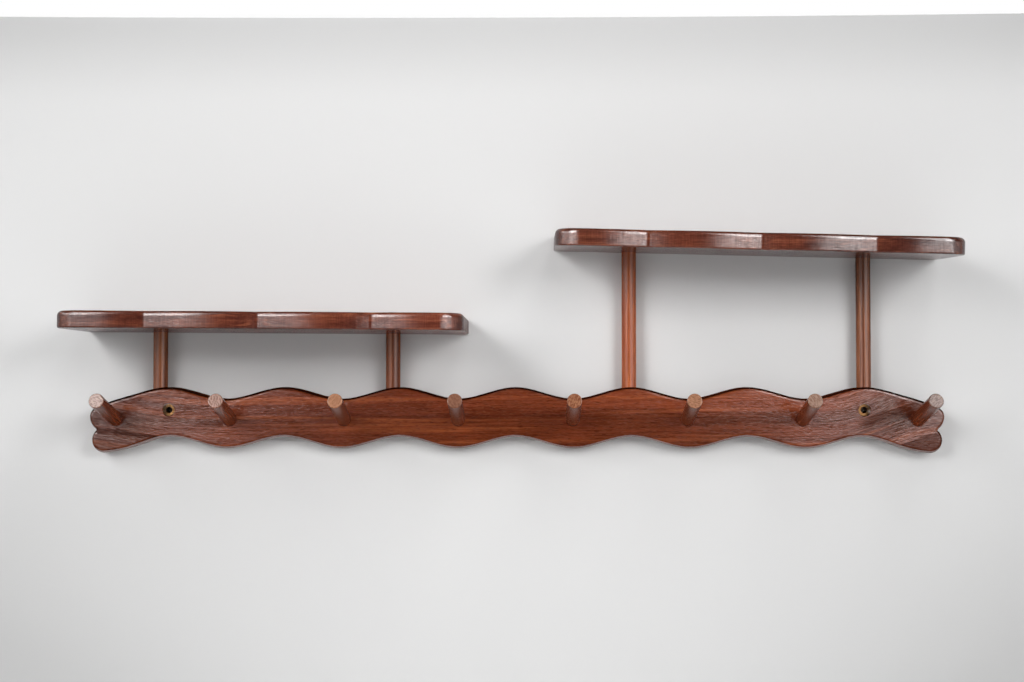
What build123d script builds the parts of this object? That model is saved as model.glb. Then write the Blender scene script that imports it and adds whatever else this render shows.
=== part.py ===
from build123d import *
import os
from math import cos, radians, sin, sqrt, tan

# A wall-hung peg rail with two small shelves, made of stained hardwood.
#
# One wavy board, the rail, is screwed to the wall. Eight round pegs are glued into slanting blind
# sockets in its face. Four dowel posts are glued upright into blind sockets in its top edge, two to
# each shelf, and their upper ends are glued into blind sockets in the undersides of the shelves.
# The left shelf stands low and the right one high. Each shelf's back edge lies along the wall.
#
# Frame: millimetres and degrees. X runs to the right and Z up. The wall is the plane Y = 0 and the
# whole piece stands out from it towards -Y. The origin is on the wall, midway between the two
# screw holes.

# ---- Dowel stock, used for the pegs and the posts alike ----
dowel_diameter = 12.7
glue_gap = 0.05            # room for glue round a dowel in its socket

# ---- Rail ----
rail_thickness = 18.0
rail_height = 43.6         # straight down from the top edge to the bottom edge, the same all along
rail_crest = 20.0          # height of the top edge's crests above the screw holes
wave_pitch = 101.6         # crest to crest
wave_count = 6             # whole waves between the two outermost crests
wave_height = 10.2         # crest above trough
rail_front_round = 3.0
rail_back_round = 0.8

# ---- Rail ends: two lobes, one above the other, with a small notch between them ----
# Each lobe is two arcs that meet at its outermost point, the tip, where the outline is upright.
upper_tip_reach = 69.8     # outermost crest to the upper tip, along the rail
lower_tip_setback = 2.0    # the lower tip stands this much nearer to the middle of the rail
upper_tip_drop = 25.7      # top edge's crests down to the upper tip
lower_tip_drop = 2.8       # bottom edge's crests down to the lower tip
lobe_outer_radius = 8.5    # upper lobe above its tip
lobe_inner_radius = 14.2   # upper lobe from its tip down to the notch
heel_inner_radius = 11.4   # lower lobe from the notch down to its tip
heel_outer_radius = 11.2   # lower lobe below its tip
notch_radius = 1.0
top_flank_slope = 28.0     # slope of the top edge where it runs into the upper lobe
bottom_flank_slope = 4.0   # slope of the bottom edge where it runs into the lower lobe
flank_run = 31.0           # outermost crest to a point halfway down each flank, along the rail
top_flank_drop = 6.3       # height lost by the top edge over that run
bottom_flank_drop = 8.8    # height lost by the bottom edge over that run

# ---- Screw holes, one under each outermost crest ----
screw_hole_diameter = 5.5
countersink_diameter = 11.5
countersink_angle = 90.0

# ---- Pegs ----
peg_count = 8
peg_inset = 23.2           # end of the rail to the first peg
peg_height = -7.9          # where a peg's axis leaves the rail's face, from the screw holes
peg_tilt = 15.0            # the free end points up by this much
peg_reach = 64.0           # length outside the rail
peg_socket = 13.0          # length inside the rail
peg_tip_round = 0.8

# ---- Posts ----
post_offset = 1.4          # each post stands this far outside the middle of its crest
post_rail_socket = 12.0    # below the height of the crests
post_shelf_socket = 8.0

# ---- Shelves ----
shelf_width = 338.5
shelf_depth = 113.6        # wall to the crests of the wavy front
shelf_thickness = 14.4
shelf_corner_radius = 22.0
shelf_top_round = 4.0      # the top edge, but for its run along the wall
shelf_bottom_round = 1.5   # the bottom edge, likewise
shelf_front_flat = 7.0     # straight run between a round corner and the outermost crest
shelf_wave_count = 3       # whole waves between the two outermost crests
shelf_wave_depth = 5.6     # crest to trough
shelf_trough_radius = 8.0  # the crests are wide arcs, the troughs between them tight ones

# A shelf's height is taken under its middle, at the wall, from the screw holes. It stands over the
# rail's second crest from one end, plus its shift. The lean lowers its right end, and the droop its
# front edge: the shelves are held by glued dowels alone and have set a little out of level.
lower_shelf_height = 67.8
lower_shelf_shift = -7.8
lower_shelf_lean_angle = 0.4
lower_shelf_droop_angle = 0.0
upper_shelf_height = 136.6
upper_shelf_shift = -0.3
upper_shelf_lean_angle = 1.4
upper_shelf_droop_angle = 2.3

# ---- Derived places ----
outer_crest = wave_count * wave_pitch / 2
rail_half_length = outer_crest + upper_tip_reach
peg_pitch = 2 * (rail_half_length - peg_inset) / (peg_count - 1)
peg_axis = Vector(0, -cos(radians(peg_tilt)), sin(radians(peg_tilt)))
post_y = -rail_thickness / 2
post_foot = rail_crest - post_rail_socket
shelf_wave_pitch = (shelf_width - 2 * (shelf_corner_radius + shelf_front_flat)) / shelf_wave_count
shelf_stand = outer_crest - wave_pitch
post_spread = wave_pitch + post_offset


def dowel(start, axis, length, gap=0.0):
    """A round bar from start along axis; gap widens it into the cutter for its own socket."""
    bar = Cylinder(dowel_diameter / 2 + gap, length, align=(Align.CENTER, Align.CENTER, Align.MIN))
    return Plane(origin=start, z_dir=axis) * bar


def wave_points(crest):
    """The rail's crests and troughs in turn, from the leftmost crest to the rightmost."""
    halves = range(-wave_count, wave_count + 1)
    return [(i * wave_pitch / 2, crest - wave_height * ((i + wave_count) % 2)) for i in halves]


def mirrored(points):
    """The same points on the other side of the middle, in reverse order."""
    return [(-x, y) for x, y in reversed(points)]


# ---- Rail ----

def flanked_wave(start, slope, crest, flank_drop):
    """A wavy edge of the rail from the left end's lobe to the right end's, as two equal halves."""
    flank = [(start.X, start.Y), (-outer_crest - flank_run, crest - flank_drop)]
    level, rise = cos(radians(slope)), sin(radians(slope))
    whole = Spline(*flank, *wave_points(crest), *mirrored(flank),
                   tangents=[(level, rise), (level, -rise)])
    left_half = whole.split(Plane.YZ, keep=Keep.BOTTOM)
    return [left_half, left_half.mirror(Plane.YZ)]


def lobe_point(tip, radius, slope, side):
    """Point of a lobe's arc with this slope, above the lobe's tip if side is 1 and below if -1."""
    return tip + Vector(1 - sin(radians(slope)), side * cos(radians(slope))) * radius


def lobe_arc(tip, radius, end):
    """Arc of a lobe from its tip to a point that lies on it."""
    centre = tip + Vector(radius, 0)
    middle = centre + ((tip + end) / 2 - centre).normalized() * radius
    return ThreePointArc(tip, middle, end)


def notch_points(upper_centre, lower_centre):
    """The notch's arc as three points: on the upper lobe, at its deepest, and on the lower lobe."""
    upper_arm = lobe_inner_radius + notch_radius
    lower_arm = heel_inner_radius + notch_radius
    span = (lower_centre - upper_centre).length
    down = (lower_centre - upper_centre).normalized()
    outward = Vector(down.Y, -down.X)
    along = (span ** 2 + upper_arm ** 2 - lower_arm ** 2) / (2 * span)
    notch_centre = upper_centre + down * along + outward * sqrt(upper_arm ** 2 - along ** 2)
    on_upper = notch_centre + (upper_centre - notch_centre).normalized() * notch_radius
    on_lower = notch_centre + (lower_centre - notch_centre).normalized() * notch_radius
    return on_upper, notch_centre - outward * notch_radius, on_lower


def rail_outline():
    """The rail seen from the front: two wavy edges joined by a lobed end on each side."""
    bottom_crest = rail_crest - rail_height
    upper_tip = Vector(-rail_half_length, rail_crest - upper_tip_drop)
    lower_tip = Vector(lower_tip_setback - rail_half_length, bottom_crest - lower_tip_drop)
    top_start = lobe_point(upper_tip, lobe_outer_radius, top_flank_slope, 1)
    bottom_start = lobe_point(lower_tip, heel_outer_radius, bottom_flank_slope, -1)
    on_upper, deepest, on_lower = notch_points(upper_tip + Vector(lobe_inner_radius, 0),
                                               lower_tip + Vector(heel_inner_radius, 0))
    left_end = [
        lobe_arc(upper_tip, lobe_outer_radius, top_start),
        lobe_arc(upper_tip, lobe_inner_radius, on_upper),
        ThreePointArc(on_upper, deepest, on_lower),
        lobe_arc(lower_tip, heel_inner_radius, on_lower),
        lobe_arc(lower_tip, heel_outer_radius, bottom_start),
    ]
    right_end = [arc.mirror(Plane.YZ) for arc in left_end]
    top_edge = flanked_wave(top_start, top_flank_slope, rail_crest, top_flank_drop)
    bottom_edge = flanked_wave(bottom_start, bottom_flank_slope, bottom_crest, bottom_flank_drop)
    return make_face([*top_edge, *bottom_edge, *left_end, *right_end])


def screw_hole(x):
    """Through hole with a countersink in the rail's front face."""
    sink_depth = (countersink_diameter - screw_hole_diameter) / 2 / tan(radians(countersink_angle / 2))
    low = (Align.CENTER, Align.CENTER, Align.MIN)
    shank = Cylinder(screw_hole_diameter / 2, rail_thickness, align=low)
    sink = Cone(countersink_diameter / 2, screw_hole_diameter / 2, sink_depth, align=low)
    return Plane(origin=(x, -rail_thickness, 0), z_dir=(0, 1, 0)) * (shank + sink)


def rail_board():
    board = extrude(Plane.XZ * rail_outline(), amount=rail_thickness)
    board = fillet(board.faces().sort_by(Axis.Y)[0].edges(), rail_front_round)
    board = fillet(board.faces().sort_by(Axis.Y)[-1].edges(), rail_back_round)
    for x in (-outer_crest, outer_crest):
        board -= screw_hole(x)
    return board


# ---- Pegs ----

def peg_start(number):
    """Floor of the peg's socket, on its axis; pegs are numbered from the left."""
    x = (number - (peg_count + 1) / 2) * peg_pitch
    return Vector(x, -rail_thickness, peg_height) - peg_axis * peg_socket


def peg(number, gap=0.0):
    return dowel(peg_start(number), peg_axis, peg_socket + peg_reach, gap)


def eased_peg(number):
    """The peg with the sharp edge of its free end taken off."""
    bar = peg(number)
    tip = bar.edges().filter_by(GeomType.CIRCLE).sort_by(Axis.Y)[0]
    return fillet(tip, peg_tip_round)


# ---- Shelves ----

def front_wave(trough_x):
    """One wave of a shelf's front, crest to crest: a tight arc in the trough between two wide ones."""
    half_pitch = shelf_wave_pitch / 2
    arm = (half_pitch ** 2 + shelf_wave_depth ** 2) / (2 * shelf_wave_depth)
    trough = Vector(trough_x, shelf_wave_depth - shelf_depth)
    join_x = half_pitch / arm * shelf_trough_radius
    join_y = trough.Y - shelf_trough_radius + sqrt(shelf_trough_radius ** 2 - join_x ** 2)
    left_join, right_join = Vector(trough_x - join_x, join_y), Vector(trough_x + join_x, join_y)
    return [
        TangentArc((trough_x - half_pitch, -shelf_depth), left_join, tangent=(1, 0)),
        ThreePointArc(left_join, trough, right_join),
        TangentArc((trough_x + half_pitch, -shelf_depth), right_join, tangent=(-1, 0)),
    ]


def shelf_outline():
    """The shelf seen from above: straight back and sides, round front corners, wavy front."""
    half = shelf_width / 2
    corner_y = shelf_corner_radius - shelf_depth
    corner_x = half - shelf_corner_radius
    crest_x = corner_x - shelf_front_flat
    troughs = [(i - (shelf_wave_count - 1) / 2) * shelf_wave_pitch for i in range(shelf_wave_count)]
    return make_face([
        Line((half, 0), (-half, 0)),
        Line((-half, 0), (-half, corner_y)),
        RadiusArc((-half, corner_y), (-corner_x, -shelf_depth), -shelf_corner_radius),
        Line((-corner_x, -shelf_depth), (-crest_x, -shelf_depth)),
        *[arc for trough_x in troughs for arc in front_wave(trough_x)],
        Line((crest_x, -shelf_depth), (corner_x, -shelf_depth)),
        RadiusArc((corner_x, -shelf_depth), (half, corner_y), -shelf_corner_radius),
        Line((half, corner_y), (half, 0)),
    ])


def shelf_board(seat):
    """The shelf on its seat, with its top and bottom edges rounded but for those at the wall."""
    board = extrude(shelf_outline(), amount=shelf_thickness)
    for face, edge_round in ((-1, shelf_top_round), (0, shelf_bottom_round)):
        rim = board.faces().sort_by(Axis.Z)[face].edges()
        board = fillet(rim.sort_by(Axis.Y)[:-1], edge_round)
    return seat * board


def shelf_seat(stand, height, lean, droop):
    """Where the middle of a shelf's lower back edge lies, and how the shelf is turned there."""
    return Pos(stand, 0, height) * Rot(Y=lean) * Rot(X=droop)


def underside(seat, x, y):
    """Height of a shelf's underside above the point x, y."""
    plane = Plane(seat)
    return plane.origin.Z - (plane.z_dir.X * (x - plane.origin.X) + plane.z_dir.Y * y) / plane.z_dir.Z


# ---- Posts ----

def post(seat, side, gap=0.0):
    """From its socket in the rail up into its socket in the shelf; side is -1 or 1."""
    x = seat.position.X + side * post_spread
    top = underside(seat, x, post_y) + post_shelf_socket
    return dowel(Vector(x, post_y, post_foot), Vector(0, 0, 1), top - post_foot, gap)


# ---- Assembly ----

seats = {
    "lower": shelf_seat(lower_shelf_shift - shelf_stand, lower_shelf_height,
                        lower_shelf_lean_angle, lower_shelf_droop_angle),
    "upper": shelf_seat(upper_shelf_shift + shelf_stand, upper_shelf_height,
                        upper_shelf_lean_angle, upper_shelf_droop_angle),
}

pieces = {}
rail = rail_board()
for number in range(1, peg_count + 1):
    rail -= peg(number, glue_gap)
    pieces[f"peg_{number}"] = eased_peg(number)
for level, seat in seats.items():
    shelf = shelf_board(seat)
    for side, word in ((-1, "left"), (1, "right")):
        socket = post(seat, side, glue_gap)
        rail -= socket
        shelf -= socket
        pieces[f"{level}_post_{word}"] = post(seat, side)
    pieces[f"{level}_shelf"] = shelf
pieces["wall_rail"] = rail

os.makedirs("parts", exist_ok=True)
for name, piece in pieces.items():
    export_step(piece, f"parts/{name}.step")
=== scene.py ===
"""Shaker peg rail with two shelves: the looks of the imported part, in its own frame, in metres."""
import math

import bpy
import numpy as np
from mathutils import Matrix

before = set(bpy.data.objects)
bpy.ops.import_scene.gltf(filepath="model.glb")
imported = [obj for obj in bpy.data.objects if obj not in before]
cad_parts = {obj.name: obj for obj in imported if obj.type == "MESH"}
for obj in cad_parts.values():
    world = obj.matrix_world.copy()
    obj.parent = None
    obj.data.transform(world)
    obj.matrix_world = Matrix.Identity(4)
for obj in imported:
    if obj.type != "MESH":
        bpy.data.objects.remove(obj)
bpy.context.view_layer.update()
scene = bpy.context.scene
scene.view_settings.view_transform = "Standard"


# Camera ----------------------------------------------------------------------------------------
# A 55 mm lens on a small-format body, on a tripod about 1.4 m in front of the wall, at the
# height of the rail and looking very slightly up.
camera_data = bpy.data.cameras.new("camera")
camera_data.sensor_width = 36.0
camera_data.lens = 54.84
camera = bpy.data.objects.new("camera", camera_data)
camera.location = (0.0167, -1.3848, 0.0218)
camera.rotation_euler = (math.radians(91.618), 0.0, math.radians(0.826))
scene.collection.objects.link(camera)
scene.camera = camera


# Backdrop --------------------------------------------------------------------------------------
# A sheet of pale grey background paper: taped flat to the wall, it ends about 20 cm above the
# shelves and curves out over the floor. The rail hangs flat against it.
wall_gap = 0.0003                # the paper lies this far behind the rail's flat back
cut_height, half_width = 0.350, 2.0
edge_curl = 0.004 / 0.6 ** 2     # the cut edge lifts 4 mm at 0.6 m from the middle
floor_height, floor_reach, bend_radius = -0.9, 3.0, 0.35


def paper_sheet(across, profile, curl):
    """A grid: the point (i, j) has the i-th x, and the j-th y and height of the profile. The
    first row, the cut top edge, is raised by curl times x^2, because its corners lift."""
    grid = np.empty((len(across), len(profile), 3))
    grid[..., 0] = across[:, None]
    grid[..., 1:] = profile[None]
    grid[:, 0, 2] += curl * across ** 2
    rows, columns = grid.shape[:2]
    index = np.arange(rows * columns).reshape(rows, columns)
    quads = np.stack([index[:-1, :-1], index[:-1, 1:], index[1:, 1:], index[1:, :-1]], -1)
    mesh = bpy.data.meshes.new("backdrop")
    mesh.from_pydata(grid.reshape(-1, 3).tolist(), [], quads.reshape(-1, 4).tolist())
    mesh.polygons.foreach_set("use_smooth", np.ones(len(mesh.polygons), bool))
    return bpy.data.objects.new("backdrop", mesh)


turn = np.linspace(0.0, math.pi / 2, 13)
flat_part = [[wall_gap, cut_height], [wall_gap, cut_height - 0.05]]
bend = np.stack([wall_gap - bend_radius * (1 - np.cos(turn)),
                 floor_height + bend_radius * (1 - np.sin(turn))], -1)
profile = np.concatenate([flat_part, bend, [[-floor_reach, floor_height]]])
backdrop = paper_sheet(np.linspace(-half_width, half_width, 41), profile, edge_curl)
scene.collection.objects.link(backdrop)


def hex_colour(text):
    """The linear colour of an sRGB hex value: c / 12.92 below 0.04045, and
    ((c + 0.055) / 1.055)^2.4 from there on."""
    srgb = np.array([int(text[i:i + 2], 16) for i in (0, 2, 4)]) / 255.0
    linear = np.where(srgb <= 0.04045, srgb / 12.92, ((srgb + 0.055) / 1.055) ** 2.4)
    return (*linear, 1.0)


def add(tree, kind, inputs=None, **settings):
    """Adds one node with its settings. Each input is given a value, or the socket that it is
    linked from."""
    node = tree.nodes.new(kind)
    for name, value in settings.items():
        setattr(node, name, value)
    for name, value in (inputs or {}).items():
        if isinstance(value, bpy.types.NodeSocket):
            tree.links.new(value, node.inputs[name])
        else:
            node.inputs[name].default_value = value
    return node


def new_material(name):
    """An empty material with its node tree and output node."""
    material = bpy.data.materials.new(name)
    material.use_nodes = True
    material.node_tree.nodes.clear()
    return material, material.node_tree, add(material.node_tree, "ShaderNodeOutputMaterial")


# The settings of a mix of two colours and of one colour tinted by another. Either has the share
# of its second colour at input 0, and the two colours at inputs 6 and 7.
blend = {"data_type": "RGBA"}
tint = {"data_type": "RGBA", "blend_type": "MULTIPLY"}

# Background paper: matt, pale neutral grey. Painted shade greys it towards its borders and along
# its cut top edge, standing in for the lamps' light falling off there. It is clear from behind,
# and for rays that start on the rail's own back, so that the back is lit and seen as if taken off
# the wall. To the eye it also fades out into the white surroundings over the floor and far out to
# the sides.
paper, tree, output = new_material("background_paper")
place = add(tree, "ShaderNodeTexCoord").outputs["Object"]
axes = add(tree, "ShaderNodeSeparateXYZ", {0: place})
across_2 = add(tree, "ShaderNodeMath", {0: axes.outputs["X"], 1: 2.0}, operation="POWER")
height_2 = add(tree, "ShaderNodeMath", {0: axes.outputs["Z"], 1: 2.0}, operation="POWER")

# Painted shade takes 0.32 x^2 + 0.24 z^2 + 8.5 x^2 (z - 0.13)^2 of its brightness, nowhere more
# than 0.28, and none on the floor.
off_middle = add(tree, "ShaderNodeMath", {0: axes.outputs["Z"], 1: 0.13}, operation="SUBTRACT")
corner = add(tree, "ShaderNodeMath", {0: off_middle.outputs[0], 1: 2.0}, operation="POWER")
corner = add(tree, "ShaderNodeMath", {0: corner.outputs[0], 1: across_2.outputs[0]},
             operation="MULTIPLY")
painted_falloff = add(tree, "ShaderNodeMath", {0: across_2.outputs[0], 1: 0.32}, operation="MULTIPLY")
painted_falloff = add(tree, "ShaderNodeMath", {0: height_2.outputs[0], 1: 0.24, 2: painted_falloff.outputs[0]},
           operation="MULTIPLY_ADD")
painted_falloff = add(tree, "ShaderNodeMath", {0: corner.outputs[0], 1: 8.5, 2: painted_falloff.outputs[0]},
           operation="MULTIPLY_ADD")
painted_falloff = add(tree, "ShaderNodeMath", {0: painted_falloff.outputs[0], 1: 0.28, 2: 0.08},
           operation="SMOOTH_MIN")
on_wall = add(tree, "ShaderNodeMapRange", {
    "Value": axes.outputs["Z"], "From Min": -0.6, "From Max": -0.3, "To Min": 0.0,
    "To Max": -1.0})
shade = add(tree, "ShaderNodeMath", {0: painted_falloff.outputs[0], 1: on_wall.outputs[0], 2: 1.03},
            operation="MULTIPLY_ADD")
# Painted shade along the cut top edge: the brightness falls to 0.86 over its last 8 cm.
painted_edge_shade = add(tree, "ShaderNodeMapRange", {
    "Value": axes.outputs["Z"], "From Min": cut_height - 0.08, "From Max": cut_height,
    "To Min": 1.0, "To Max": 0.86}, interpolation_type="SMOOTHSTEP")
shade = add(tree, "ShaderNodeMath", {0: shade.outputs[0], 1: painted_edge_shade.outputs[0]},
            operation="MULTIPLY")
grey = add(tree, "ShaderNodeMix", {0: 1.0, 6: hex_colour("E5E5E5"), 7: shade.outputs[0]}, **tint)
matt = add(tree, "ShaderNodeBsdfDiffuse", {"Color": grey.outputs[2], "Roughness": 0.5})

# Where it is clear: from behind, within a millimetre of where a ray starts, and for the camera
# at the floor and far out to the sides.
side = add(tree, "ShaderNodeNewGeometry")
path = add(tree, "ShaderNodeLightPath")
near = add(tree, "ShaderNodeMath", {0: path.outputs["Ray Length"], 1: 0.001},
           operation="LESS_THAN")
unseen = add(tree, "ShaderNodeMath", {0: side.outputs["Backfacing"], 1: near.outputs[0]},
             operation="MAXIMUM")
below = add(tree, "ShaderNodeMapRange", {
    "Value": axes.outputs["Z"], "From Min": -0.45, "From Max": -0.80},
    interpolation_type="SMOOTHSTEP")
beside = add(tree, "ShaderNodeMapRange", {
    "Value": across_2.outputs[0], "From Min": 0.4, "From Max": 1.4},
    interpolation_type="SMOOTHSTEP")
away = add(tree, "ShaderNodeMath", {0: below.outputs[0], 1: beside.outputs[0]},
           operation="MAXIMUM")
away = add(tree, "ShaderNodeMath", {0: away.outputs[0], 1: path.outputs["Is Camera Ray"]},
           operation="MULTIPLY")
unseen = add(tree, "ShaderNodeMath", {0: unseen.outputs[0], 1: away.outputs[0]},
             operation="MAXIMUM")
clear = add(tree, "ShaderNodeBsdfTransparent")
both = add(tree, "ShaderNodeMixShader", {
    0: unseen.outputs[0], 1: matt.outputs[0], 2: clear.outputs[0]})
tree.links.new(both.outputs[0], output.inputs["Surface"])
backdrop.data.materials.append(paper)


# Studio light ----------------------------------------------------------------------------------
# Three small softboxes on each side of the camera light the matt colour only. The lacquer shows
# white scrims instead, dim along the foot and at the sides, with a dark gap at the camera. One
# more softbox, behind the paper, lights the object's back.
lamp_distance, object_middle = 2.0, 0.05


def softbox(name, azimuth, elevation, size, watts):
    """A rectangular area lamp on a sphere about the middle of the object, turned to face it. The
    azimuth goes from straight in front of the wall to the right, the elevation up."""
    lamp = bpy.data.lights.new(name, "AREA")
    lamp.shape, lamp.size, lamp.size_y, lamp.energy = "RECTANGLE", *size, watts
    holder = bpy.data.objects.new(name, lamp)
    around, up = math.radians(azimuth), math.radians(elevation)
    holder.location = (lamp_distance * math.sin(around) * math.cos(up),
                       -lamp_distance * math.cos(around) * math.cos(up),
                       object_middle + lamp_distance * math.sin(up))
    holder.rotation_euler = (math.pi / 2 - up, 0.0, around)
    scene.collection.objects.link(holder)
    return holder


for name, azimuth, elevation, watts in (
        ("softbox_left_low", -48, 2, 4.3), ("softbox_left", -34, 16, 13.0),
        ("softbox_left_high", -48, 32, 8.9), ("softbox_right_low", 48, 2, 5.1),
        ("softbox_right", 34, 16, 13.9), ("softbox_right_high", 30, 55, 7.0)):
    softbox(name, azimuth, elevation, (0.6, 0.6), watts).visible_glossy = False
for name, azimuth, elevation, size, watts in (
        ("scrim_left_foot", -37, 0, (1.6, 0.8), 11.5),
        ("scrim_right_foot", 38, 0, (1.6, 0.8), 21.0),
        ("scrim_left", -40, 23, (1.2, 0.8), 60.0),
        ("scrim_right", 42, 23, (1.2, 0.8), 60.0),
        ("scrim_left_top", -42, 46, (0.9, 0.8), 30.0),
        ("scrim_right_top", 43, 46, (0.9, 0.8), 30.0),
        ("scrim_left_side", -77, 0, (1.8, 0.6), 5.0),
        ("scrim_right_side", 77, 0, (1.8, 0.6), 5.0),
        ("scrim_left_wing", -80, 20, (1.4, 0.7), 26.0)):
    softbox(name, azimuth, elevation, size, watts).visible_diffuse = False
softbox("softbox_back", 165, 25, (1.5, 1.5), 45.0)

# The room is white to the eye, and gives only a faint light of its own.
room = bpy.data.worlds.new("room")
scene.world = room
room.use_nodes = True
tree = room.node_tree
tree.nodes.clear()
path = add(tree, "ShaderNodeLightPath")
dim = add(tree, "ShaderNodeBackground", {"Color": (1.0, 1.0, 1.0, 1.0), "Strength": 0.04})
white = add(tree, "ShaderNodeBackground", {"Color": (1.0, 1.0, 1.0, 1.0), "Strength": 1.0})
seen = add(tree, "ShaderNodeMixShader", {
    0: path.outputs["Is Camera Ray"], 1: dim.outputs[0], 2: white.outputs[0]})
add(tree, "ShaderNodeOutputWorld", {"Surface": seen.outputs[0]})


# Wall rail -------------------------------------------------------------------------------------
# One 18 mm board of open-pored hardwood, bandsawn to its waves, with routed round edges, stained
# red-brown and sprayed with satin lacquer. Its two screw holes were drilled after finishing.

def figure(tree, along, size, cut, ends=(0.0, 1.0), detail=2.0, shift=0.0):
    """A mark of the grain: noise drawn out to one mark per size, its length along the grain and
    width across it in metres, with a smooth step from the first end to the second over the
    cut."""
    stretched = add(tree, "ShaderNodeMapping", {
        "Vector": along, "Location": (shift, shift, shift),
        "Scale": (1 / size[0], 1 / size[1], 1 / size[1])})
    noise = add(tree, "ShaderNodeTexNoise", {
        "Vector": stretched.outputs[0], "Scale": 1.0, "Detail": detail, "Roughness": 0.55})
    return add(tree, "ShaderNodeMapRange", {
        "Value": noise.outputs["Fac"], "From Min": cut[0], "From Max": cut[1],
        "To Min": ends[0], "To Max": ends[1]}, interpolation_type="SMOOTHSTEP").outputs[0]


def lacquered_wood(name, turned, stains, band, fibre, pore, openness, rough, lacquer, coats=1.0,
                   sway=()):
    """Stained and lacquered wood. turned brings the grain onto X; stains are its dark, middle and
    pale colours; band, fibre and pore are the length and width in metres of its growth bands,
    fibres and pores, and openness is how much of the pores the lacquer leaves open; rough and
    lacquer are the roughness of the wood and of the lacquer over it, and coats is how closed the
    lacquer film is; sway is where along x the grain climbs, from start to end and by how much.
    Returns the material, its tree, its shader, its object coordinates, those along the grain,
    and its stain colour."""
    material, tree, output = new_material(name)
    place = add(tree, "ShaderNodeTexCoord").outputs["Object"]
    axes = add(tree, "ShaderNodeSeparateXYZ", {0: place})
    grain = place
    for start, end, climb in sway:
        lift = add(tree, "ShaderNodeMapRange", {
            "Value": axes.outputs["X"], "From Min": start, "From Max": end, "To Max": -climb},
            interpolation_type="SMOOTHSTEP")
        lift = add(tree, "ShaderNodeCombineXYZ", {2: lift.outputs[0]})
        grain = add(tree, "ShaderNodeVectorMath", {0: grain, 1: lift.outputs[0]}).outputs[0]
    along = add(tree, "ShaderNodeMapping", {"Vector": grain, "Rotation": turned}).outputs[0]
    bands = figure(tree, along, band, (0.36, 0.64))
    streaks = figure(tree, along, (band[0] * 0.4, band[1] * 0.35), (0.50, 0.74), shift=5.9)
    fibres = figure(tree, along, fibre, (0.30, 0.70), detail=3.0, shift=3.1)
    pores = figure(tree, along, pore, (0.53, 0.72), detail=1.0, shift=7.7)
    flecks = figure(tree, along, (pore[0] * 0.8, pore[1]), (0.49, 0.66), detail=1.0, shift=12.3)

    # The colour: broad growth bands with paler streaks, and fine fibres over both. The stain
    # filled the pores with near black, and was rubbed off the high flecks.
    dark, middle, pale = (hex_colour(stain) for stain in stains)
    stain = add(tree, "ShaderNodeMix", {0: bands, 6: dark, 7: middle}, **blend).outputs[2]
    stain = add(tree, "ShaderNodeMix", {0: streaks, 6: stain, 7: pale}, **blend).outputs[2]
    shade = add(tree, "ShaderNodeMapRange", {"Value": fibres, "To Min": 0.76, "To Max": 1.20})
    stain = add(tree, "ShaderNodeMix", {0: 1.0, 6: stain, 7: shade.outputs[0]}, **tint).outputs[2]
    filled = add(tree, "ShaderNodeMath", {0: pores, 1: 0.42 * openness}, operation="MULTIPLY")
    stain = add(tree, "ShaderNodeMix", {
        0: filled.outputs[0], 6: stain, 7: hex_colour("240B05")}, **blend).outputs[2]
    worn = add(tree, "ShaderNodeMath", {0: flecks, 1: 0.10 * openness}, operation="MULTIPLY")
    stain = add(tree, "ShaderNodeMix", {
        0: worn.outputs[0], 6: stain, 7: hex_colour("B5714A")}, **blend).outputs[2]

    # The surface: flecks and fibres stand a few hundredths of a millimetre over the pores. The
    # lacquer film is closed on them, and thin between them and over the pores. All gloss is the
    # lacquer's, and the wood under it is matt.
    raised = add(tree, "ShaderNodeMath", {0: flecks, 1: fibres}, operation="ADD")
    height = add(tree, "ShaderNodeMath", {0: raised.outputs[0], 1: pores}, operation="SUBTRACT")
    relief = add(tree, "ShaderNodeBump", {
        "Strength": 1.0, "Distance": 0.00004 * openness, "Height": height.outputs[0]})
    sheen = add(tree, "ShaderNodeMapRange", {
        "Value": fibres, "To Min": rough + 0.06, "To Max": rough - 0.06})
    shine = add(tree, "ShaderNodeMath", {0: flecks, 1: openness, 2: fibres},
                operation="MULTIPLY_ADD")
    film = add(tree, "ShaderNodeMapRange", {
        "Value": shine.outputs[0], "From Max": 1.0 + 0.35 * openness,
        "To Min": (1.0 - 0.75 * openness) * coats, "To Max": coats})
    unfilled = add(tree, "ShaderNodeMath", {0: pores, 1: -0.7 * openness, 2: 1.0},
                   operation="MULTIPLY_ADD")
    film = add(tree, "ShaderNodeMath", {0: film.outputs[0], 1: unfilled.outputs[0]},
               operation="MULTIPLY")
    shader = add(tree, "ShaderNodeBsdfPrincipled", {
        "Base Color": stain, "Roughness": sheen.outputs[0], "IOR": 1.5,
        "Specular IOR Level": 0.0, "Coat Weight": film.outputs[0], "Coat Roughness": lacquer,
        "Coat IOR": 1.55, "Normal": relief.outputs[0], "Coat Normal": relief.outputs[0]})
    tree.links.new(shader.outputs[0], output.inputs["Surface"])
    return material, tree, shader, place, along, stain


def scale_film(tree, shader, share):
    """Multiplies the weight of the lacquer film, as built so far, by a share."""
    film = shader.inputs["Coat Weight"].links[0].from_socket
    scaled = add(tree, "ShaderNodeMath", {0: film, 1: share}, operation="MULTIPLY")
    tree.links.new(scaled.outputs[0], shader.inputs["Coat Weight"])


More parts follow.
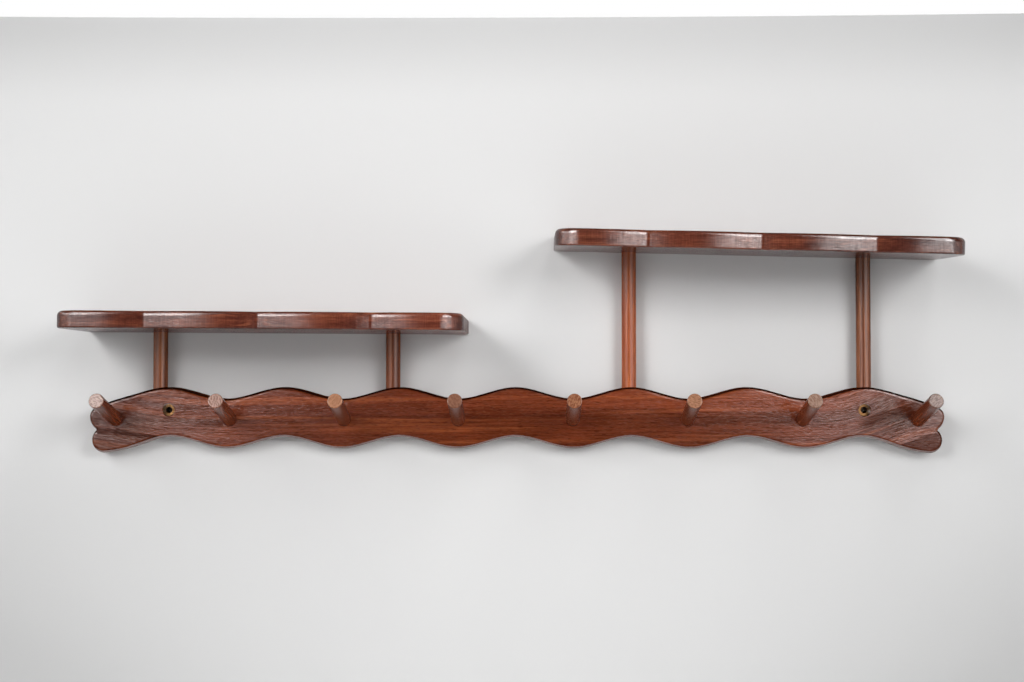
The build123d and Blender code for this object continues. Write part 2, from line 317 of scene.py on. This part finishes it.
def turned_to(tree, direction, start, end, ends):
    """A smooth step from the first of the ends to the second, as the cosine of the angle between
    the surface's normal and a direction goes from start to end."""
    normal = add(tree, "ShaderNodeTexCoord").outputs["Normal"]
    cosine = add(tree, "ShaderNodeVectorMath", {0: normal, 1: direction}, operation="DOT_PRODUCT")
    return add(tree, "ShaderNodeMapRange", {
        "Value": cosine.outputs["Value"], "From Min": start, "From Max": end,
        "To Min": ends[0], "To Max": ends[1]}, interpolation_type="SMOOTHSTEP").outputs[0]


def finish_with(material, name):
    """Puts the material on the CAD node of that name, in place of what it came with."""
    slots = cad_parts[name].data.materials
    slots.clear()
    slots.append(material)


# Red-brown stain under satin lacquer: the pores stay slightly open, so the sheen breaks up into
# short pale and dark dashes along the grain, which climbs towards both ends. Real pores are about
# 0.3 mm wide and fibres finer still. On every piece both are drawn about a millimetre wide,
# because they would not show otherwise.
rail_wood, tree, shader, place, along, stain = lacquered_wood(
    "stained_rail_wood", (0.0, 0.0, 0.0), ("672A12", "80391C", "984B26"),
    band=(0.6, 0.014), fibre=(0.03, 0.0011), pore=(0.006, 0.0008), openness=1.0,
    rough=0.5, lacquer=0.20, sway=((-0.29, -0.40, 0.014), (0.27, 0.37, 0.026)))
axes = add(tree, "ShaderNodeSeparateXYZ", {0: place})
side_x = add(tree, "ShaderNodeMath", {0: axes.outputs["X"]}, operation="ABSOLUTE").outputs[0]


def under_line(tree, along_x, level, line, fade, span):
    """1 just under the slanting line z = line[0] + line[1] * x, 0 over it, falling to 0 again
    between the two depths of fade, and only within the two ends of span along x."""
    edge, taper = 0.0018, 0.010
    top = add(tree, "ShaderNodeMath", {0: along_x, 1: line[1], 2: line[0]},
              operation="MULTIPLY_ADD")
    depth = add(tree, "ShaderNodeMath", {0: top.outputs[0], 1: level}, operation="SUBTRACT")
    steps = [(depth.outputs[0], 0.0, edge, 0.0, 1.0), (depth.outputs[0], *fade, 1.0, 0.0),
             (along_x, span[0], span[0] + taper, 0.0, 1.0),
             (along_x, span[1] - taper, span[1], 1.0, 0.0)]
    product = 1.0
    for value, start, end, low, high in steps:
        step = add(tree, "ShaderNodeMapRange", {
            "Value": value, "From Min": start, "From Max": end, "To Min": low, "To Max": high},
            interpolation_type="SMOOTHSTEP")
        product = add(tree, "ShaderNodeMath", {0: step.outputs[0], 1: product},
                      operation="MULTIPLY").outputs[0]
    return product


# The board is darker heartwood below a line a little under the screw holes, which dies out
# towards the ends. A knot outside each end left dark swirls: one in the left end's notch, and
# two on the right, between the screw hole and the last peg and in the lower lobe.
# These lines wander by 1.5 mm over a hand's width, and are ragged by 1.2 mm.
drift = figure(tree, along, (0.12, 0.05), (0.3, 0.7), ends=(-0.0015, 0.0015), shift=1.7)
ragged = figure(tree, along, (0.02, 0.0015), (0.3, 0.7), ends=(-0.0012, 0.0012), shift=4.4)
level = add(tree, "ShaderNodeMath", {0: axes.outputs["Z"], 1: drift}, operation="ADD")
level = add(tree, "ShaderNodeMath", {0: level.outputs[0], 1: ragged}, operation="ADD").outputs[0]
heart = add(tree, "ShaderNodeMapRange", {
    "Value": level, "From Min": -0.0030, "From Max": -0.0065})
deeper = add(tree, "ShaderNodeMapRange", {
    "Value": level, "From Min": -0.012, "From Max": -0.020, "To Max": 0.35})
heart = add(tree, "ShaderNodeMath", {0: heart.outputs[0], 1: deeper.outputs[0]}, operation="ADD")
inner = add(tree, "ShaderNodeMapRange", {
    "Value": side_x, "From Min": 0.28, "From Max": 0.20, "To Max": 0.48})
dark = add(tree, "ShaderNodeMath", {0: heart.outputs[0], 1: inner.outputs[0]},
           operation="MULTIPLY").outputs[0]
for line, fade, span in (((-0.0635, -0.136), (0.003, 0.008), (-0.40, -0.30)),
                         ((-0.0935, 0.29), (0.006, 0.018), (0.297, 0.365)),
                         ((-0.1658, 0.40), (0.014, 0.035), (0.330, 0.40))):
    swirl = under_line(tree, axes.outputs["X"], level, line, fade, span)
    dark = add(tree, "ShaderNodeMath", {0: dark, 1: swirl}, operation="MAXIMUM").outputs[0]

# The heartwood and the swirls took a darker stain. So did both ends, the left tip most of all.
left_tip = (-0.325, -0.350)      # along x, from where it begins to where it is full
for where, start, end, darkest in ((dark, 0.0, 1.0, 0.55), (side_x, 0.24, 0.33, 0.68),
                                   (axes.outputs["X"], *left_tip, 0.64)):
    shade = add(tree, "ShaderNodeMapRange", {
        "Value": where, "From Min": start, "From Max": end, "To Min": 1.0, "To Max": darkest})
    stain = add(tree, "ShaderNodeMix", {0: 1.0, 6: stain, 7: shade.outputs[0]}, **tint).outputs[2]

# Painted shade: the routed round along the top edge, which lies in shade, is darkened nearly to
# black, and the flat top behind it to dark brown. A painted reflection of the pale wall below
# greys the bottom edge.
up, down = (0.0, 0.0, 1.0), (0.0, 0.0, -1.0)
for start, end, ends in ((0.25, 0.60, (1.0, 0.08)), (0.80, 0.97, (1.0, 5.0))):
    shade = turned_to(tree, up, start, end, ends)
    stain = add(tree, "ShaderNodeMix", {0: 1.0, 6: stain, 7: shade}, **tint).outputs[2]
# Painted reflection: faces turned down are greyed towards 8F7F7B.
stain = add(tree, "ShaderNodeMix", {
    0: turned_to(tree, down, 0.35, 0.55, (0.0, 0.85)), 6: stain, 7: hex_colour("8F7F7B")},
    **blend).outputs[2]

# Raw wood inside the countersinks: a mask on the distance from either hole's axis, which falls
# just inside the rim, where stain and lacquer ran over the edge. Painted shade darkens the side of
# each countersink away from the middle, and the shank's bore is painted near black as shade,
# because it is too deep to be lit.
hole_spread, countersink_radius, shank_radius, blur = 0.3048, 0.0052, 0.0030, 0.0003
off_x = add(tree, "ShaderNodeMath", {0: side_x, 1: hole_spread}, operation="SUBTRACT")
off_axis = add(tree, "ShaderNodeCombineXYZ", {0: off_x.outputs[0], 2: axes.outputs["Z"]})
distance = add(tree, "ShaderNodeVectorMath", {0: off_axis.outputs[0]}, operation="LENGTH")
bored = add(tree, "ShaderNodeMapRange", {
    "Value": distance.outputs["Value"], "From Min": countersink_radius + blur,
    "From Max": countersink_radius - blur})
raw_tone = figure(tree, along, (0.004, 0.0015), (0.35, 0.65), shift=9.0)
raw = add(tree, "ShaderNodeMix", {
    0: raw_tone, 6: hex_colour("A87446"), 7: hex_colour("D8A874")}, **blend)
painted_cone_shade = add(tree, "ShaderNodeMapRange", {
    "Value": off_x.outputs[0], "From Min": -0.002, "From Max": 0.003, "To Min": 1.0,
    "To Max": 0.15})
raw = add(tree, "ShaderNodeMix", {0: 1.0, 6: raw.outputs[2], 7: painted_cone_shade.outputs[0]}, **tint)
shank = add(tree, "ShaderNodeMapRange", {
    "Value": distance.outputs["Value"], "From Min": shank_radius,
    "From Max": shank_radius - blur})
raw = add(tree, "ShaderNodeMix", {
    0: shank.outputs[0], 6: raw.outputs[2], 7: hex_colour("1A100A")}, **blend)
stain = add(tree, "ShaderNodeMix", {
    0: bored.outputs[0], 6: stain, 7: raw.outputs[2]}, **blend).outputs[2]
tree.links.new(stain, shader.inputs["Base Color"])

# The top round took little lacquer, the dark wood drank most of its own, and the left tip is
# rubbed duller than the rest.
scale_film(tree, shader, turned_to(tree, up, 0.15, 0.55, (1.0, 0.05)))
for where, start, end, thinnest in ((dark, 0.0, 1.0, 0.40),
                                    (axes.outputs["X"], *left_tip, 0.80)):
    share = add(tree, "ShaderNodeMapRange", {
        "Value": where, "From Min": start, "From Max": end, "To Min": 1.0, "To Max": thinnest})
    scale_film(tree, shader, share.outputs[0])
finish_with(rail_wood, "wall_rail")


# Pegs ------------------------------------------------------------------------------------------
# Eight lengths of 12.7 mm dowel, sanded off at the free end, glued into the face 15 degrees up,
# and stained and lacquered with the rail. Each end grain took the stain differently.
peg_tilt = math.radians(15.0)
peg_axis = (0.0, -math.cos(peg_tilt), math.sin(peg_tilt))
sawn_end = 0.0788                # along the axis from the frame's origin, just short of the end
# For each peg, the dark and the pale stain of its end grain, and how its rings lie in degrees.
peg_end_stains = (("664536", "9C7C6E", 20), ("6A4432", "9A7060", 75), ("8A5A3E", "AA7654", 130),
                  ("6E4634", "8A5E48", 50), ("743F28", "A06C4C", 110), ("875A40", "A87658", 15),
                  ("724C38", "92705C", 60), ("4A2E22", "74574A", 140))
for number, (dark_end, pale_end, ring_turn) in enumerate(peg_end_stains, 1):
    # Close-grained dowel under one coat: a soft line of sheen along it and a matt mottled end.
    peg_wood, tree, shader, place, along, stain = lacquered_wood(
        f"stained_peg_wood_{number}", (peg_tilt, 0.0, math.pi / 2),
        ("602A14", "6A3018", "763B21"),
        band=(0.08, 0.005), fibre=(0.03, 0.0006), pore=(0.008, 0.0007), openness=0.0,
        rough=0.5, lacquer=0.26, coats=0.9)
    # End grain: fine broken growth rings across the sawn face, a millimetre or so apart, which
    # drank most of its lacquer.
    across = add(tree, "ShaderNodeMapping", {
        "Vector": along, "Rotation": (math.radians(ring_turn), 0.0, 0.0)}).outputs[0]
    across = add(tree, "ShaderNodeMapping", {
        "Vector": across, "Scale": (1.0, 0.35, 1.0)}).outputs[0]
    rings = figure(tree, across, (0.01, 0.0011), (0.36, 0.64), detail=3.0, shift=number)
    end_stain = add(tree, "ShaderNodeMix", {
        0: rings, 6: hex_colour(dark_end), 7: hex_colour(pale_end)}, **blend)
    reach = add(tree, "ShaderNodeVectorMath", {0: place, 1: peg_axis}, operation="DOT_PRODUCT")
    end_face = add(tree, "ShaderNodeMath", {0: reach.outputs["Value"], 1: sawn_end},
                   operation="GREATER_THAN")
    stain = add(tree, "ShaderNodeMix", {
        0: end_face.outputs[0], 6: stain, 7: end_stain.outputs[2]}, **blend).outputs[2]
    tree.links.new(stain, shader.inputs["Base Color"])
    share = add(tree, "ShaderNodeMath", {0: end_face.outputs[0], 1: -0.6, 2: 1.0},
                operation="MULTIPLY_ADD")
    scale_film(tree, shader, share.outputs[0])
    finish_with(peg_wood, f"peg_{number}")


# Shelf posts -----------------------------------------------------------------------------------
# Four lengths of the same dowel, glued upright between the rail's top edge and the shelves. Each
# post is given its own dark, middle and pale stain, some warmer and some darker than the next.
post_stains = {
    "lower_post_left": ("6E381C", "8A4C28", "A46238"),
    "lower_post_right": ("68321A", "8A4826", "A66238"),
    "upper_post_left": ("9A4822", "BE6232", "CC7644"),
    "upper_post_right": ("62301B", "864A28", "AC6A42"),
}
for name, stains in post_stains.items():
    # Dowel under a thin coat: upright streaks and a soft, broken line of sheen.
    post_wood, tree, shader, place, _, stain = lacquered_wood(
        "stained_" + name, (0.0, math.pi / 2, 0.0), stains,
        band=(0.15, 0.004), fibre=(0.05, 0.0009), pore=(0.010, 0.0008), openness=0.3,
        rough=0.5, lacquer=0.28, coats=0.55)
    # Painted shade: every post is darkened by a third from 70 mm to 115 mm up, where the upper
    # shelf shades it.
    axes = add(tree, "ShaderNodeSeparateXYZ", {0: place})
    painted_shelf_shade = add(tree, "ShaderNodeMapRange", {
        "Value": axes.outputs["Z"], "From Min": 0.070, "From Max": 0.115, "To Min": 1.0,
        "To Max": 0.66})
    stain = add(tree, "ShaderNodeMix", {
        0: 1.0, 6: stain, 7: painted_shelf_shade.outputs[0]}, **tint).outputs[2]
    tree.links.new(stain, shader.inputs["Base Color"])
    finish_with(post_wood, name)


# Shelves ---------------------------------------------------------------------------------------
# Two 14 mm boards of the rail's wood with a scalloped front, rounded over above and below,
# sanded smoother than the rail and lacquered to a higher gloss. Along x the stain of each is
# multiplied by a shade that goes from the first of its shades to the second.
for name, coats, from_x, to_x, shades in (("lower_shelf", 0.60, -0.38, -0.06, (0.75, 1.40)),
                                          ("upper_shelf", 0.76, 0.15, 0.34, (1.0, 0.80))):
    # The same stain under gloss lacquer, which reflects more than the rail's: each scallop shows
    # one pale and one dark flank.
    shelf_wood, tree, shader, place, _, stain = lacquered_wood(
        "stained_wood_" + name, (0.0, 0.0, 0.0), ("481F16", "643122", "7E432E"),
        band=(0.3, 0.010), fibre=(0.03, 0.0011), pore=(0.006, 0.0008), openness=0.5,
        rough=0.45, lacquer=0.16, coats=coats)
    shader.inputs["Coat IOR"].default_value = 1.75
    # Sanding marks: faint upright lines across the front edge. The grit left them a few tenths of
    # a millimetre apart, and they are drawn about a millimetre apart so that they show.
    upright = add(tree, "ShaderNodeMapping", {
        "Vector": place, "Rotation": (0.0, math.pi / 2, 0.0)})
    sanding = figure(tree, upright.outputs[0], (0.02, 0.0009), (0.35, 0.65), ends=(0.86, 1.12),
                     shift=2.2)
    axes = add(tree, "ShaderNodeSeparateXYZ", {0: place})
    shade_along_x = add(tree, "ShaderNodeMapRange", {
        "Value": axes.outputs["X"], "From Min": from_x, "From Max": to_x, "To Min": shades[0],
        "To Max": shades[1]})
    for shade in (sanding, shade_along_x.outputs[0]):
        stain = add(tree, "ShaderNodeMix", {0: 1.0, 6: stain, 7: shade}, **tint).outputs[2]
    # End grain drinks more stain and dries darker and more even than the sides of the board.
    for direction in ((1.0, 0.0, 0.0), (-1.0, 0.0, 0.0)):
        stain = add(tree, "ShaderNodeMix", {
            0: turned_to(tree, direction, 0.55, 0.95, (0.0, 0.75)), 6: stain,
            7: hex_colour("3E1A12")}, **blend).outputs[2]
    # Faces turned down are made a twentieth darker.
    shade = turned_to(tree, down, 0.30, 0.85, (1.0, 0.95))
    stain = add(tree, "ShaderNodeMix", {0: 1.0, 6: stain, 7: shade}, **tint).outputs[2]
    tree.links.new(stain, shader.inputs["Base Color"])
    # The sanding marks show in the sheen too. The flat tops are worn nearly matt, and the
    # undersides kept all their lacquer.
    combing = add(tree, "ShaderNodeMath", {0: sanding, 1: 1.5}, operation="POWER")
    scale_film(tree, shader, combing.outputs[0])
    scale_film(tree, shader, turned_to(tree, up, 0.70, 0.95, (1.0, 0.04)))
    scale_film(tree, shader, turned_to(tree, down, 0.30, 0.85, (1.0, 1.5)))
    combed = add(tree, "ShaderNodeBump", {
        "Strength": 1.0, "Distance": 0.00005, "Height": sanding,
        "Normal": shader.inputs["Normal"].links[0].from_socket})
    tree.links.new(combed.outputs[0], shader.inputs["Coat Normal"])
    finish_with(shelf_wood, name)
